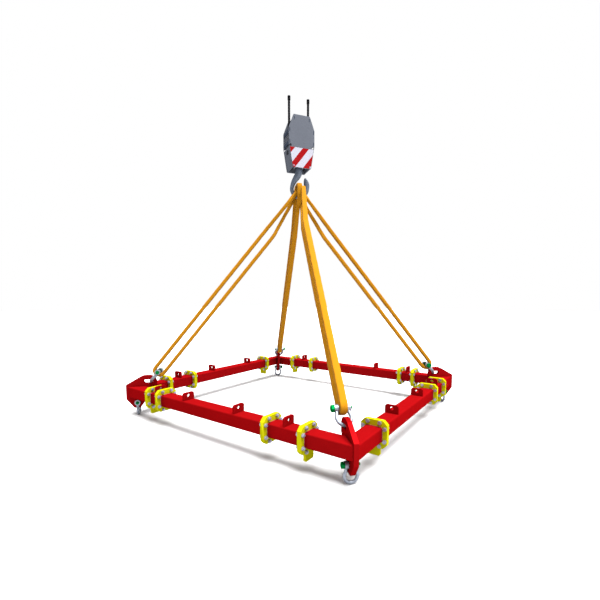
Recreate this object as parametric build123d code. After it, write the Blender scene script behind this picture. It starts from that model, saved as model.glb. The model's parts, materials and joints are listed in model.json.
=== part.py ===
"""Modular rectangular spreader frame, hung by four round slings from a single-sheave hook block.

Millimetres, +Z up. The origin is midway between the two rope ends, on the axis that the whole
rig hangs about. The front side of the frame faces -Y, its left side faces -X. The rig is
symmetric under a half turn about Z, apart from the hook and its slings' crossing.
"""
from build123d import *
import os
from math import atan2, cos, degrees, hypot, pi, radians, sin, sqrt

os.makedirs("parts", exist_ok=True)

# ---------------------------------------------------------------- driving dimensions
# Frame
BEAM_WIDTH = 150.0
BEAM_HEIGHT = 125.0
BEAM_WALL = 8.0
BEAM_ROUND = 14.0
BEAM_TOP = -3400.0
HALF_X = 1450.0                      # centre line of the left and right sides
HALF_Y = 1330.0                      # centre line of the front and rear sides
CORNER_ARM = 402.0                   # corner centre to the bolted joint
FRONT_JOINTS = (-855.0, 665.0)       # joints between the corner joints, along +X
SIDE_JOINT = 555.0                   # right side's joint, along +Y

# Flanged joints
FLANGE_SIZE = 235.0
FLANGE_CHAMFER = 35.0
FLANGE_THICK = 20.0
FOOT_WIDTH = 120.0
FOOT_DEPTH = 246.0                   # beam top to the sole
FOOT_CHAMFER = 12.0
BOLT_RADIUS = 10.0
BOLT_HEAD_ACROSS = 30.0
BOLT_HEAD_HEIGHT = 12.5
NUT_HEIGHT = 16.0
BOLT_TAIL = 6.0
BOLT_NEAR = 53.0
BOLT_FAR = 98.5
HOLE_CLEARANCE = 1.0

# Lifting lugs on the beams
LUG_WIDTH = 130.0
LUG_HEIGHT = 80.0
LUG_THICK = 20.0
LUG_ROUND = 22.0
LUG_HOLE_RADIUS = 18.0
LUG_HOLE_HEIGHT = 45.0
FRONT_LUGS = (-460.0, 270.0)
SIDE_LUGS = (-550.0, 175.0)
SHORT_SPACER_LUG = -950.0
LONG_SPACER_LUG = 855.0
SIDE_SPACER_LUG = 742.0

# Corner plate, in its own plane: inward from the corner centre, and up from the beam top
PLATE_THICK = 40.0
PLATE_OUTLINE = ((-108, -150), (-108, 22), (84, 131), (237, 131), (237, -8), (45, -258), (-22, -258))
PLATE_ROUNDS = (6, 20, 120, 85, 12, 14, 14)
SLOT_CENTRE = (145.0, 60.0)
SLOT_LENGTH = 105.0
SLOT_HEIGHT = 42.0
LOAD_PIN_PLACE = (21.0, -190.0)

# Bow shackles: pin radius, bow wire radius, jaw, bow centre-line radius, pin to crown centre
TOP_PIN_RADIUS = 17.5
TOP_WIRE_RADIUS = 16.0
TOP_JAW = 70.0
TOP_BOW_RADIUS = 61.5
TOP_REACH = 143.0
LOAD_PIN_RADIUS = 16.0
LOAD_WIRE_RADIUS = 14.0
LOAD_JAW = 47.0
LOAD_BOW_RADIUS = 51.5
LOAD_REACH = 140.0
COLLAR_THICK = 5.0
TURNED_END = 13.0
PIN_TAIL = 4.0                       # the pin past its nut
EAR_RADIUS = 31.5
EAR_LIP = 0.8                        # the ears are thicker than the wire by this on each face
RUNNING_FIT = 0.05
FACE_GAP = 0.3

# Slings
SLING_WIDTH = 66.0
SLING_THICK = 43.0
SLING_INNER = 36.0                   # inner radius of the eye round the pin
SLING_BUNCH_RADIUS = 21.0            # where it is gathered in the hook

# Hook
HOOK_YAW = 47.5                      # the hook's own plane, about Z
BOWL_Z = BEAM_TOP + 2358.0           # centre of the bowl
SADDLE_DROP = 88.0                   # bowl centre to the point that the legs aim at
SHANK_RADIUS = 42.0
SHANK_NECK_RADIUS = 30.0

# Hook block
BLOCK_YAW = 55.5
CHEEK_OUTER = 110.0
CHEEK_THICK = 15.0
CHEEK_OUTLINE = ((100, -244), (158, -395), (158, -567), (116, -830))
CHEEK_ROUND = 10.0
PANEL_TOP = -610.0
PANEL_THICK = 3.0
PANEL_INSET = 5.0
PANEL_LIFT = 2.0
SHEAVE_Z = -480.0
SHEAVE_PITCH = 119.0
SHEAVE_RADIUS = 135.0
SHEAVE_RIM_WIDTH = 48.0
SHEAVE_HUB_WIDTH = 66.0
SHEAVE_HUB_RADIUS = 60.0
SHEAVE_WEB = 16.0
BEARING_RADIUS = 45.0
AXLE_RADIUS = 30.0
PIN_SEAT = 9.0                       # depth of the blind seats in the cheeks
TRUNNION_Z = -752.0
CROSSHEAD_SIZE = (120.0, 184.0, 80.0)
TRUNNION_RADIUS = 28.0
THRUST_RADIUS = 48.0
THRUST_HEIGHT = 24.0
HOOK_NUT_RADIUS = 44.0
HOOK_NUT_HEIGHT = 40.0
TIE_BARS = ((91.5, -285.0), (148.0, -418.0), (148.0, -546.0))
TIE_SECTION = (11.0, 39.0)
WEB_THICK = 10.0

# Rope
ROPE_RADIUS = 14.0
FERRULE_RADIUS = 17.0
FERRULE_LENGTH = 46.0

BEAM_MID = BEAM_TOP - BEAM_HEIGHT / 2


# ---------------------------------------------------------------- helpers
def save(node, pieces):
    """Write one node from its separate solids."""
    solids = [solid for piece in pieces for solid in piece.solids()]
    shape = solids[0] if len(solids) == 1 else Compound(children=solids)
    export_step(shape, f"parts/{node}.step")


def upright(origin, across, facing):
    """A vertical plane: its X runs along across, its Y is up, and it faces along facing."""
    return Plane(origin=origin, x_dir=across, z_dir=facing)


def cylinder_along_y(radius, start, end, x=0.0, z=0.0):
    """A round bar from y = start to y = end."""
    plane = Plane(origin=(x, start, z), z_dir=(0, 1, 0))
    return extrude(plane * Circle(radius), amount=end - start)


# Each side of the frame is drawn along +X with the inside towards +Y, then set in place.
FRONT = Pos(0, -HALF_Y, 0)
RIGHT = Pos(HALF_X, 0, 0) * Rot(0, 0, 90)
REAR = Rot(0, 0, 180) * FRONT
LEFT = Rot(0, 0, 180) * RIGHT
CORNERS = {
    "front_left": Pos(-HALF_X, -HALF_Y, 0),
    "front_right": Pos(HALF_X, -HALF_Y, 0) * Rot(0, 0, 90),
    "rear_right": Pos(HALF_X, HALF_Y, 0) * Rot(0, 0, 180),
    "rear_left": Pos(-HALF_X, HALF_Y, 0) * Rot(0, 0, 270),
}
FRONT_CORNER_JOINT = HALF_X - CORNER_ARM
SIDE_CORNER_JOINT = HALF_Y - CORNER_ARM


# ---------------------------------------------------------------- frame
def box_section(start, end):
    """A length of box section between two stations of a side."""
    plane = Plane(origin=(start, 0, BEAM_MID), x_dir=(0, 1, 0), z_dir=(1, 0, 0))
    outer = RectangleRounded(BEAM_WIDTH, BEAM_HEIGHT, BEAM_ROUND)
    inner = RectangleRounded(BEAM_WIDTH - 2 * BEAM_WALL, BEAM_HEIGHT - 2 * BEAM_WALL, BEAM_ROUND - BEAM_WALL)
    return extrude(plane * (outer - inner), amount=end - start)


def between_joints(start, end):
    """The box section that fits between the flange plates of two joints."""
    return box_section(start + FLANGE_THICK, end - FLANGE_THICK)


def bolt_places():
    """The eight bolts of a joint, across the beam and up from its middle."""
    near_far = ((BOLT_NEAR, BOLT_FAR), (BOLT_FAR, BOLT_NEAR))
    return [(i * y, j * z) for y, z in near_far for i in (-1, 1) for j in (-1, 1)]


def flange_plate(station, side, foot=False):
    """One plate of a joint; side is -1 or +1, the side of the station that it lies on."""
    start = station if side > 0 else station - FLANGE_THICK
    plane = Plane(origin=(start, 0, BEAM_MID), x_dir=(0, 1, 0), z_dir=(1, 0, 0))
    square = Rectangle(FLANGE_SIZE, FLANGE_SIZE)
    outline = chamfer(square.vertices(), FLANGE_CHAMFER)
    if foot:
        sole = -(FOOT_DEPTH - BEAM_HEIGHT / 2)
        leg = Pos(0, sole / 2) * Rectangle(FOOT_WIDTH, -sole)
        outline = outline + chamfer(leg.vertices().sort_by(Axis.Y)[:2], FOOT_CHAMFER)
    for y, z in bolt_places():
        outline = outline - Pos(y, z) * Circle(BOLT_RADIUS + HOLE_CLEARANCE)
    return extrude(plane * outline, amount=FLANGE_THICK)


def flange_bolts(station):
    """Eight hexagon bolts through both plates of a joint."""
    bolts = []
    for y, z in bolt_places():
        seat = station - FLANGE_THICK
        plane = Plane(origin=(seat, y, BEAM_MID + z), x_dir=(0, 1, 0), z_dir=(1, 0, 0))
        hexagon = RegularPolygon(BOLT_HEAD_ACROSS / 2, 6, major_radius=False)
        head = extrude(plane * hexagon, amount=-BOLT_HEAD_HEIGHT)
        shank = extrude(plane * Circle(BOLT_RADIUS), amount=2 * FLANGE_THICK + NUT_HEIGHT + BOLT_TAIL)
        bolts.append(head + shank)
    return bolts


def flange_nuts(station):
    """The eight nuts of a joint."""
    nuts = []
    for y, z in bolt_places():
        plane = Plane(origin=(station + FLANGE_THICK, y, BEAM_MID + z), x_dir=(0, 1, 0), z_dir=(1, 0, 0))
        hexagon = RegularPolygon(BOLT_HEAD_ACROSS / 2, 6, major_radius=False)
        nuts.append(extrude(plane * (hexagon - Circle(BOLT_RADIUS)), amount=NUT_HEIGHT))
    return nuts


def lug(station):
    """A lifting lug standing across the top of a beam, its hole along the beam."""
    plane = Plane(origin=(station - LUG_THICK / 2, 0, BEAM_TOP), x_dir=(0, 1, 0), z_dir=(1, 0, 0))
    block = Pos(0, LUG_HEIGHT / 2) * Rectangle(LUG_WIDTH, LUG_HEIGHT)
    outline = fillet(block.vertices().sort_by(Axis.Y)[2:], LUG_ROUND)
    outline = outline - Pos(0, LUG_HOLE_HEIGHT) * Circle(LUG_HOLE_RADIUS)
    return extrude(plane * outline, amount=LUG_THICK)


def corner_arms():
    """Two mitred arms along +X and +Y, parted by the thickness of the corner plate."""
    reach = HALF_X
    tube = box_section(-BEAM_WIDTH, CORNER_ARM - FLANGE_THICK)
    middle = Pos(0, reach / 2 - PLATE_THICK / 2, BEAM_MID)
    cut = Rot(0, 0, 45) * middle * Box(2 * reach, reach, 2 * BEAM_HEIGHT)
    arm = tube - cut
    return [arm, arm.mirror(upright((0, 0, 0), (1, 1, 0), (1, -1, 0)))]


def corner_plate():
    """The thick diagonal plate: slot for the top shackle, round hole for the load shackle's pin."""
    outline = Polygon(*PLATE_OUTLINE, align=None)
    for point, radius in zip(PLATE_OUTLINE, PLATE_ROUNDS):
        vertex = outline.vertices().sort_by_distance((point[0], point[1], 0))[0]
        outline = fillet(vertex, radius)
    outline = outline - Pos(*SLOT_CENTRE) * SlotOverall(SLOT_LENGTH, SLOT_HEIGHT)
    outline = outline - Pos(*LOAD_PIN_PLACE) * Circle(LOAD_PIN_RADIUS + RUNNING_FIT)
    plane = upright((0, 0, BEAM_TOP), (1, 1, 0), (1, -1, 0))
    return extrude(plane * outline, amount=PLATE_THICK / 2, both=True)


def along_side(place, make, *stations):
    """Make one thing at each station of a side."""
    return [place * make(station) for station in stations]


def build_frame():
    """Beams, spacers, corners, flanges, lugs and bolts."""
    front_inner, front_outer = FRONT_JOINTS
    corner_x = FRONT_CORNER_JOINT
    corner_y = SIDE_CORNER_JOINT
    for name, place in (("front", FRONT), ("rear", REAR)):
        save(f"{name}_beam", [place * between_joints(front_inner, front_outer)])
        save(f"{name}_spacer_short", [place * between_joints(-corner_x, front_inner)])
        save(f"{name}_spacer_long", [place * between_joints(front_outer, corner_x)])
        save(f"{name}_beam_lugs", along_side(place, lug, *FRONT_LUGS))
    for name, place in (("right", RIGHT), ("left", LEFT)):
        save(f"{name}_beam", [place * between_joints(-corner_y, SIDE_JOINT)])
        save(f"{name}_spacer", [place * between_joints(SIDE_JOINT, corner_y)])
        save(f"{name}_beam_lugs", along_side(place, lug, *SIDE_LUGS))

    spacer_lugs = []
    inner_plates = []
    corner_plates = []
    bolts = []
    nuts = []
    for place in (FRONT, REAR):
        stations = (-corner_x, front_inner, front_outer, corner_x)
        spacer_lugs += along_side(place, lug, SHORT_SPACER_LUG, LONG_SPACER_LUG)
        for side in (-1, 1):
            corner_plates.append(place * flange_plate(side * corner_x, side, foot=True))
        inner_plates += [place * flange_plate(station, 1) for station in stations[:-1]]
        inner_plates += [place * flange_plate(station, -1) for station in stations[1:]]
        bolts += [place * bolt for station in stations for bolt in flange_bolts(station)]
        nuts += [place * nut for station in stations for nut in flange_nuts(station)]
    for place in (RIGHT, LEFT):
        stations = (-corner_y, SIDE_JOINT, corner_y)
        spacer_lugs += along_side(place, lug, SIDE_SPACER_LUG)
        for side in (-1, 1):
            corner_plates.append(place * flange_plate(side * corner_y, side, foot=True))
        inner_plates += [place * flange_plate(station, 1) for station in stations[:-1]]
        inner_plates += [place * flange_plate(station, -1) for station in stations[1:]]
        bolts += [place * bolt for station in stations for bolt in flange_bolts(station)]
        nuts += [place * nut for station in stations for nut in flange_nuts(station)]
    save("spacer_lugs", spacer_lugs)
    save("beam_flange_plates", inner_plates)
    save("corner_flange_plates", corner_plates)
    save("flange_bolts", bolts)
    save("flange_nuts", nuts)

    for name, place in CORNERS.items():
        save(f"corner_{name}_arms", [place * arm for arm in corner_arms()])
        save(f"corner_{name}_plate", [place * corner_plate()])


# ---------------------------------------------------------------- shackles
def bow(jaw, wire_radius, bow_radius, reach, pin_radius):
    """A bow with its pin along Y at the origin and its crown straight down at -reach."""
    ear_y = jaw / 2 + wire_radius
    centre_z = bow_radius - reach
    middle = ((ear_y + bow_radius) / 2, (centre_z - EAR_RADIUS) / 2)
    edges = [ThreePointArc((0, bow_radius, centre_z), (0, 0, -reach), (0, -bow_radius, centre_z))]
    for side in (-1, 1):
        swell = (0, side * middle[0], middle[1])
        edges.append(TangentArc((0, side * bow_radius, centre_z), swell, tangent=(0, 0, 1)))
        edges.append(TangentArc((0, side * ear_y, -EAR_RADIUS), swell, tangent=(0, 0, -1)))
        edges.append(Line((0, side * ear_y, -EAR_RADIUS), (0, side * ear_y, 0)))
    path = Wire([edge.edge() for edge in edges])
    start = Plane(origin=path @ 0, z_dir=path % 0)
    shape = sweep(start * Circle(wire_radius), path=path)
    for side in (-1, 1):
        inner, outer = sorted((side * (jaw / 2 - EAR_LIP), side * (jaw / 2 + 2 * wire_radius + EAR_LIP)))
        shape = shape + cylinder_along_y(EAR_RADIUS, inner, outer)
    return shape - cylinder_along_y(pin_radius + RUNNING_FIT, -reach, reach)


def shackle_pin(jaw, wire_radius, pin_radius):
    """The pin along Y, with a low collar and a turned end at -Y."""
    outer = jaw / 2 + 2 * wire_radius + EAR_LIP
    collar_face = -outer - COLLAR_THICK
    shank = cylinder_along_y(pin_radius, -outer, outer + 1.5 * pin_radius + PIN_TAIL)
    collar = cylinder_along_y(1.25 * pin_radius, collar_face, -outer)
    turned_end = cylinder_along_y(0.68 * pin_radius, collar_face - TURNED_END, collar_face)
    return shank + collar + turned_end


def shackle_nut(jaw, wire_radius, pin_radius):
    """The nut on the +Y end of a shackle's pin."""
    outer = jaw / 2 + 2 * wire_radius + EAR_LIP
    plane = Plane(origin=(0, outer, 0), z_dir=(0, 1, 0))
    hexagon = RegularPolygon(1.6 * pin_radius, 6, major_radius=False)
    return extrude(plane * (hexagon - Circle(pin_radius + RUNNING_FIT)), amount=1.5 * pin_radius)


# A top shackle's crown hangs in the slot's inner end; the whole leg lies in a vertical plane
# through the Z axis, on one straight line from the crown to the hook.
SLOT_END = SLOT_CENTRE[0] + SLOT_LENGTH / 2 - SLOT_HEIGHT / 2
CROWN_X = HALF_X - SLOT_END / sqrt(2)
CROWN_Y = HALF_Y - SLOT_END / sqrt(2)
CROWN_RADIUS = hypot(CROWN_X, CROWN_Y)
CROWN_Z = BEAM_TOP + SLOT_CENTRE[1]
LEG_TOP_Z = BOWL_Z - SADDLE_DROP
LEG_ANGLE = degrees(atan2(CROWN_RADIUS, LEG_TOP_Z - CROWN_Z))
CROWN_PLAY = 1.2                     # short of the slot's end, where the bow curves through it
LEG_LENGTH = hypot(CROWN_RADIUS, LEG_TOP_Z - CROWN_Z) + CROWN_PLAY
PIN_DISTANCE = LEG_LENGTH - TOP_REACH
LEG_YAWS = {
    "front_left": 180 + degrees(atan2(CROWN_Y, CROWN_X)),
    "front_right": -degrees(atan2(CROWN_Y, CROWN_X)),
    "rear_right": degrees(atan2(CROWN_Y, CROWN_X)),
    "rear_left": 180 - degrees(atan2(CROWN_Y, CROWN_X)),
}


def leg_point(distance, offset=0.0):
    """A point of a leg's plane as (outward, up): distance down the leg, offset square to it."""
    angle = radians(LEG_ANGLE)
    outward = distance * sin(angle) + offset * cos(angle)
    up = LEG_TOP_Z - distance * cos(angle) + offset * sin(angle)
    return outward, up


def build_shackles():
    """Four top shackles on the frame, four load shackles that swing under its corners."""
    outward, up = leg_point(PIN_DISTANCE)
    lean = Pos(outward, 0, up) * Rot(0, -LEG_ANGLE, 0)
    size = (TOP_JAW, TOP_WIRE_RADIUS)
    places = [Rot(0, 0, yaw) * lean for yaw in LEG_YAWS.values()]
    top_bow = bow(*size, TOP_BOW_RADIUS, TOP_REACH, TOP_PIN_RADIUS)
    save("top_shackle_bows", [place * top_bow for place in places])
    turned = Rot(0, 0, 180)
    top_pin = turned * shackle_pin(*size, TOP_PIN_RADIUS)
    top_nut = turned * shackle_nut(*size, TOP_PIN_RADIUS)
    save("top_shackle_pins", [place * top_pin for place in places])
    save("top_shackle_nuts", [place * top_nut for place in places])

    along, up = LOAD_PIN_PLACE
    size = (LOAD_JAW, LOAD_WIRE_RADIUS)
    for name, place in CORNERS.items():
        hang = place * Pos(along / sqrt(2), along / sqrt(2), BEAM_TOP + up) * Rot(0, 0, 45)
        save(f"load_bow_{name}", [hang * bow(*size, LOAD_BOW_RADIUS, LOAD_REACH, LOAD_PIN_RADIUS)])
        pin = shackle_pin(*size, LOAD_PIN_RADIUS)
        nut = shackle_nut(*size, LOAD_PIN_RADIUS)
        save(f"load_pin_{name}", [hang * pin, hang * nut])


# ---------------------------------------------------------------- slings
def sling_leg(yaw, start):
    """The straight lower run of a sling: two strands and the eye round the shackle's pin."""
    end = PIN_DISTANCE - (SLING_INNER - TOP_PIN_RADIUS - FACE_GAP)
    outer = SLING_INNER + SLING_THICK
    run = end - start
    eye = Pos(end, 0) * (Circle(outer) - Circle(SLING_INNER))
    eye = eye - Pos(end - outer, 0) * Rectangle(2 * outer, 3 * outer)
    shape = eye
    for side in (-1, 1):
        strand = Rectangle(run, SLING_THICK)
        shape = shape + Pos(start + run / 2, side * (SLING_INNER + SLING_THICK / 2)) * strand
    angle = radians(LEG_ANGLE)
    plane = Plane(origin=(0, 0, LEG_TOP_Z), x_dir=(sin(angle), 0, -cos(angle)), z_dir=(0, -1, 0))
    return Rot(0, 0, yaw) * extrude(plane * shape, amount=SLING_WIDTH / 2, both=True)


def strand_end(yaw, distance, side):
    """The middle of a strand, in the hook's frame, with height from the bowl's centre."""
    outward, up = leg_point(distance, side * (SLING_INNER + SLING_THICK / 2))
    turn = radians(yaw - HOOK_YAW)
    return outward * cos(turn), outward * sin(turn), up - BOWL_Z


def bunched(points, radii):
    """The gathered sling over the hook: points in the hook's frame, height from the bowl's centre."""
    path = FilletPolyline(*points, radius=radii)
    first = Vector(*points[1]) - Vector(*points[0])
    section = Plane(origin=points[0], z_dir=first) * Circle(SLING_BUNCH_RADIUS)
    return Pos(0, 0, BOWL_Z) * Rot(0, 0, HOOK_YAW) * sweep(section, path=path.wire())


def side_sling(corner):
    """A sling in the hook's plane: one strand passes in front of the hook, one behind it."""
    yaw = LEG_YAWS[corner]
    side = 1 if corner == "rear_right" else -1
    start = 500.0
    points = [
        strand_end(yaw, start + 20, 1),
        (side * 140, -50, -180),
        (side * 21.8, -50, -37.5),
        (side * 21.8, 50, -37.5),
        (side * 120, 50, -225),
        strand_end(yaw, start + 20, -1),
    ]
    return sling_leg(yaw, start) + bunched(points, [120, 26, 26, 120])


def cross_sling(corner):
    """A sling across the hook's plane: one strand over the saddle, one under the hook."""
    yaw = LEG_YAWS[corner]
    front = -1 if corner == "front_right" else 1
    place, height = (25.0, 8.0) if corner == "front_right" else (-18.5, 36.0)
    start = 440.0
    points = [
        strand_end(yaw, start + 20, 1),
        (place, front * 94, height),
        (place, -front * 95, height),
        (place, -front * 95, -108),
        (place, front * 24, -208),
        strand_end(yaw, start + 20, -1),
    ]
    return sling_leg(yaw, start) + bunched(points, [40, 26, 50, 120])


def build_slings():
    """Four endless round slings."""
    for corner in ("front_left", "rear_right"):
        save(f"sling_{corner}", [side_sling(corner)])
    for corner in ("front_right", "rear_left"):
        save(f"sling_{corner}", [cross_sling(corner)])


# ---------------------------------------------------------------- hook
# Inner and outer edge of the hook's body at each station, across and up from the bowl's
# centre, and the half thickness square to its plane.
HOOK_STATIONS = (
    ((42, 212), (-42, 212), 42),
    ((36, 168), (-49, 176), 40),
    ((12, 122), (-70, 136), 36),
    ((-18, 87), (-91, 88), 31),
    ((-48, 45), (-105, 34), 27),
    ((-64, -5), (-108, -20), 24),
    ((-50, -42), (-86, -72), 24),
    ((-24, -61), (-46, -107), 24),
    ((8, -65), (14, -119), 24),
    ((40, -52), (74, -96), 24),
    ((61, -22), (113, -42), 24),
    ((64, 14), (128, 16), 23),
    ((61, 52), (128, 66), 20),
    ((60, 88), (112, 104), 15),
    ((64, 116), (92, 128), 9),
)


def hook_section(inner, outer, half_thick):
    """One elliptical section of the hook, square to its plane."""
    middle = ((inner[0] + outer[0]) / 2, 0, (inner[1] + outer[1]) / 2)
    across = Vector(outer[0] - inner[0], 0, outer[1] - inner[1])
    plane = Plane(origin=middle, x_dir=across, z_dir=across.cross(Vector(0, 1, 0)))
    return plane * Ellipse(across.length / 2, half_thick)


def hook_body():
    """The forged hook with its shank up to the nut."""
    sections = [hook_section(*station) for station in HOOK_STATIONS]
    bend = loft(sections)
    collar_top = TRUNNION_Z - CROSSHEAD_SIZE[2] / 2 - 2 - BOWL_Z
    collar_base = HOOK_STATIONS[0][0][1]
    thread_top = TRUNNION_Z + CROSSHEAD_SIZE[2] / 2 + THRUST_HEIGHT + FACE_GAP + HOOK_NUT_HEIGHT - BOWL_Z
    collar = Pos(0, 0, collar_base) * extrude(Circle(SHANK_RADIUS), amount=collar_top - collar_base)
    neck = Pos(0, 0, collar_top) * extrude(Circle(SHANK_NECK_RADIUS), amount=thread_top - collar_top)
    return Pos(0, 0, BOWL_Z) * Rot(0, 0, HOOK_YAW) * (bend + collar + neck)


def hook_nut():
    """The round nut that carries the hook on the thrust bearing, with four spanner notches."""
    base = TRUNNION_Z + CROSSHEAD_SIZE[2] / 2 + THRUST_HEIGHT + FACE_GAP
    outline = Circle(HOOK_NUT_RADIUS) - Circle(SHANK_NECK_RADIUS + RUNNING_FIT)
    for turn in range(4):
        outline = outline - Rot(0, 0, 90 * turn) * Pos(HOOK_NUT_RADIUS, 0) * Rectangle(10, 12)
    return Pos(0, 0, base) * Rot(0, 0, HOOK_YAW) * extrude(outline, amount=HOOK_NUT_HEIGHT)


# ---------------------------------------------------------------- hook block
IN_BLOCK = Rot(0, 0, BLOCK_YAW)
CHEEK_INNER = CHEEK_OUTER - CHEEK_THICK


def cheek_outline(inset=0.0, top=None):
    """Half widths and heights mirrored into a closed outline; top cuts it off lower down."""
    corners = list(CHEEK_OUTLINE)
    if top is not None:
        (wide, high), (narrow, low) = corners[-2:]
        share = (high - top) / (high - low)
        corners = [(wide + share * (narrow - wide), top), (narrow, low)]
    right = [(x - inset, z) for x, z in corners]
    left = [(-x, z) for x, z in reversed(right)]
    return Polygon(*right, *left, align=None)


def cheek(face):
    """A cheek plate on the -Y or +Y face, with blind seats for the axle and the trunnions."""
    outline = fillet(cheek_outline().vertices(), CHEEK_ROUND)
    for side in (-1, 1):
        for x, z in TIE_BARS:
            outline = outline - Pos(side * x, z) * Rectangle(*TIE_SECTION)
        outline = outline - Pos(side * 138, -588) * RectangleRounded(26, 32, 8)
    plane = upright((0, face * CHEEK_INNER, 0), (1, 0, 0), (0, -1, 0))
    plate = extrude(plane * outline, amount=CHEEK_THICK, dir=(0, face, 0))
    seat = (face * (CHEEK_INNER - 5), face * (CHEEK_INNER + PIN_SEAT))
    plate = plate - cylinder_along_y(AXLE_RADIUS + RUNNING_FIT, min(seat), max(seat), z=SHEAVE_Z)
    return plate - cylinder_along_y(TRUNNION_RADIUS + RUNNING_FIT, min(seat), max(seat), z=TRUNNION_Z)


def panel(face):
    """A hazard panel on the outside of a cheek."""
    outline = fillet(cheek_outline(PANEL_INSET, PANEL_TOP).vertices(), 4)
    plane = upright((0, face * CHEEK_OUTER, PANEL_LIFT), (1, 0, 0), (0, -1, 0))
    return extrude(plane * outline, amount=PANEL_THICK, dir=(0, face, 0))


def panel_bolts(face):
    """Two button-headed screws at the foot of a panel."""
    start = face * (CHEEK_OUTER + PANEL_THICK)
    end = start + face * 5
    return [cylinder_along_y(8, min(start, end), max(start, end), x, -812) for x in (-100, 100)]


def tie_bars():
    """Flat bars between the cheeks, their ends let into slots in both."""
    width, height = TIE_SECTION
    bar = Box(width, 2 * CHEEK_OUTER, height)
    return [Pos(side * x, 0, z) * bar for x, z in TIE_BARS for side in (-1, 1)]


def side_web(side):
    """The inclined web along the lower edge of the cheeks, with an oval hole."""
    (wide, high), (narrow, low) = CHEEK_OUTLINE[-2:]
    slope = degrees(atan2(wide - narrow, high - low))
    length = hypot(wide - narrow, high - low) - 30
    middle_x = (wide + narrow) / 2 - WEB_THICK / 2 - 6
    middle_z = (high + low) / 2 - 12
    plane = Plane(origin=(0, 0, 0), x_dir=(0, 1, 0), z_dir=(1, 0, 0))
    outline = Rectangle(2 * CHEEK_INNER, length) - Pos(0, 72) * SlotOverall(86, 56)
    web = extrude(plane * outline, amount=WEB_THICK / 2, both=True)
    web = Pos(middle_x, 0, middle_z) * Rot(0, slope, 0) * web
    return web if side > 0 else Rot(0, 0, 180) * web


def sheave():
    """The grooved wheel on its bearing, turning about Y."""
    rim = SHEAVE_RIM_WIDTH / 2
    groove = ROPE_RADIUS + 0.6
    web = SHEAVE_WEB / 2
    hub = SHEAVE_HUB_WIDTH / 2
    rim_inner = SHEAVE_PITCH - 28
    mouth = rim - 6
    outline = Polygon(
        (BEARING_RADIUS, -hub), (SHEAVE_HUB_RADIUS, -hub),
        (SHEAVE_HUB_RADIUS + 4, -web), (rim_inner - 6, -web),
        (rim_inner + 6, -rim), (SHEAVE_RADIUS, -rim), (SHEAVE_RADIUS, -mouth), (SHEAVE_PITCH, -groove),
        (SHEAVE_PITCH, groove), (SHEAVE_RADIUS, mouth), (SHEAVE_RADIUS, rim), (rim_inner + 6, rim),
        (rim_inner - 6, web), (SHEAVE_HUB_RADIUS + 4, web), (SHEAVE_HUB_RADIUS, hub), (BEARING_RADIUS, hub),
        align=None,
    )
    outline = outline - Pos(SHEAVE_PITCH, 0) * Circle(groove)
    plane = Plane(origin=(0, 0, SHEAVE_Z), x_dir=(1, 0, 0), z_dir=(0, 0, 1))
    wheel = revolve(plane * outline, axis=Axis((0, 0, SHEAVE_Z), (0, 1, 0)))
    return wheel


def ring_along_y(outer, inner, half_width, z):
    """A plain ring about a Y axis."""
    plane = Plane(origin=(0, -half_width, z), z_dir=(0, 1, 0))
    return extrude(plane * (Circle(outer) - Circle(inner)), amount=2 * half_width)


def axle_spacers():
    """Two rings that keep the sheave in the middle of its axle."""
    inner = SHEAVE_HUB_WIDTH / 2 + FACE_GAP
    pieces = []
    for side in (-1, 1):
        start, end = sorted((side * inner, side * CHEEK_INNER))
        plane = Plane(origin=(0, start, SHEAVE_Z), z_dir=(0, 1, 0))
        pieces.append(extrude(plane * (Circle(42) - Circle(AXLE_RADIUS)), amount=end - start))
    return pieces


def crosshead():
    """The forged crosshead: trunnions along Y and an upright bore for the hook's neck."""
    body = Box(*CROSSHEAD_SIZE)
    body = fillet(body.edges().filter_by(Axis.Z), 18)
    reach = CHEEK_INNER + PIN_SEAT - 0.5
    body = body + cylinder_along_y(TRUNNION_RADIUS, -reach, reach)
    body = body - Pos(0, 0, -100) * extrude(Circle(SHANK_NECK_RADIUS + RUNNING_FIT), amount=200)
    return Pos(0, 0, TRUNNION_Z) * body


def thrust_bearing():
    """The bearing between the crosshead and the hook's nut: two washers and a cage."""
    base = TRUNNION_Z + CROSSHEAD_SIZE[2] / 2
    washer = THRUST_HEIGHT / 3
    bore = Circle(SHANK_NECK_RADIUS + 0.5)
    lower = Pos(0, 0, base) * extrude(Circle(THRUST_RADIUS) - bore, amount=washer)
    cage = Pos(0, 0, base + washer) * extrude(Circle(THRUST_RADIUS - 3) - bore, amount=washer)
    upper = Pos(0, 0, base + 2 * washer) * extrude(Circle(THRUST_RADIUS) - bore, amount=washer)
    return [lower, cage, upper]


def rope_route():
    """The rope's corners: down one fall, round the sheave in four 45 degree turns, up the other."""
    corner = SHEAVE_PITCH / cos(radians(22.5))
    points = [(-SHEAVE_PITCH, 0, -FERRULE_LENGTH / 2)]
    for step in range(4):
        angle = radians(202.5 + 45 * step)
        points.append((corner * cos(angle), 0, SHEAVE_Z + corner * sin(angle)))
    points.append((SHEAVE_PITCH, 0, -FERRULE_LENGTH / 2))
    return points


def rope():
    """Both falls and the half turn under the sheave."""
    path = FilletPolyline(*rope_route(), radius=SHEAVE_PITCH - 1.5)
    start = Plane(origin=rope_route()[0], z_dir=(0, 0, -1))
    return sweep(start * Circle(ROPE_RADIUS), path=path.wire())


def ferrule(side):
    """A swaged end sleeve, blind, that the rope runs into."""
    body = extrude(Circle(FERRULE_RADIUS), amount=-FERRULE_LENGTH)
    body = fillet(body.edges().group_by(Axis.Z)[-1], 4)
    bore = Pos(0, 0, -FERRULE_LENGTH) * extrude(Circle(ROPE_RADIUS), amount=FERRULE_LENGTH / 2)
    return Pos(side * SHEAVE_PITCH, 0, 0) * (body - bore)


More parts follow.
